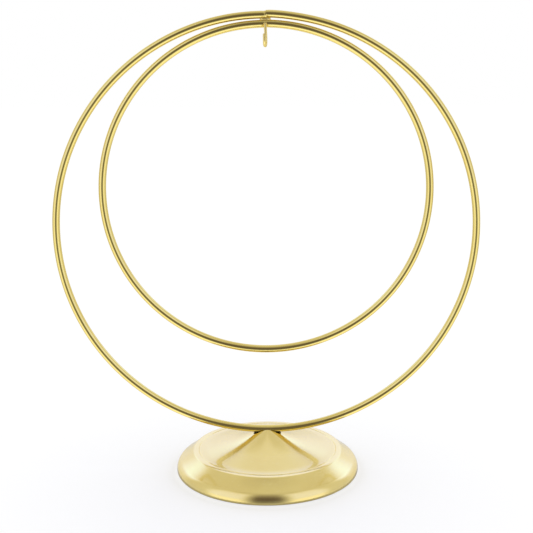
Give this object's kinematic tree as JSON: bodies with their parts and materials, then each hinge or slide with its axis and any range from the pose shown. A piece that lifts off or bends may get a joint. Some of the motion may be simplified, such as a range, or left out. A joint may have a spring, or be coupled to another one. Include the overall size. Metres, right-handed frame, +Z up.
{
  "type": "double hoop display stand",
  "caption": "Free-standing gold-finished metal stand: a small hoop welded inside a large upright hoop, with a wire hook, on a round dished foot.",
  "frame": {"origin": "centre of the foot, on the surface that the stand rests on", "axes": "+Z up, hoops in the XZ plane, the hook opens towards -Y, the front"},
  "size_m": [0.229, 0.1012, 0.2504],
  "materials": {
    "foot_gold": "satin gold plating on spun steel sheet",
    "wire_gold": "polished gold plating on round steel wire",
    "hook_gold": "polished gold plating on thin steel wire",
    "weld_gold": "gold plating over a small weld bead",
    "zinc_steel": "zinc plated",
    "board": "pressed fibreboard",
    "felt": "wool felt, black"
  },
  "bodies": {
    "root": {"base_shell": "foot_gold", "felt_pad": "felt", "backing_board": "board", "mounting_stud": "zinc_steel", "stud_weld": "weld_gold", "spreader_washer": "zinc_steel", "lock_washer": "zinc_steel", "hex_nut": "zinc_steel", "outer_hoop": "wire_gold", "outer_seam_weld": "weld_gold", "inner_hoop": "wire_gold", "inner_seam_weld": "weld_gold", "hoop_tie_weld": "weld_gold", "ornament_hook": "hook_gold", "hook_weld": "weld_gold"}
  },
  "joints": []
}
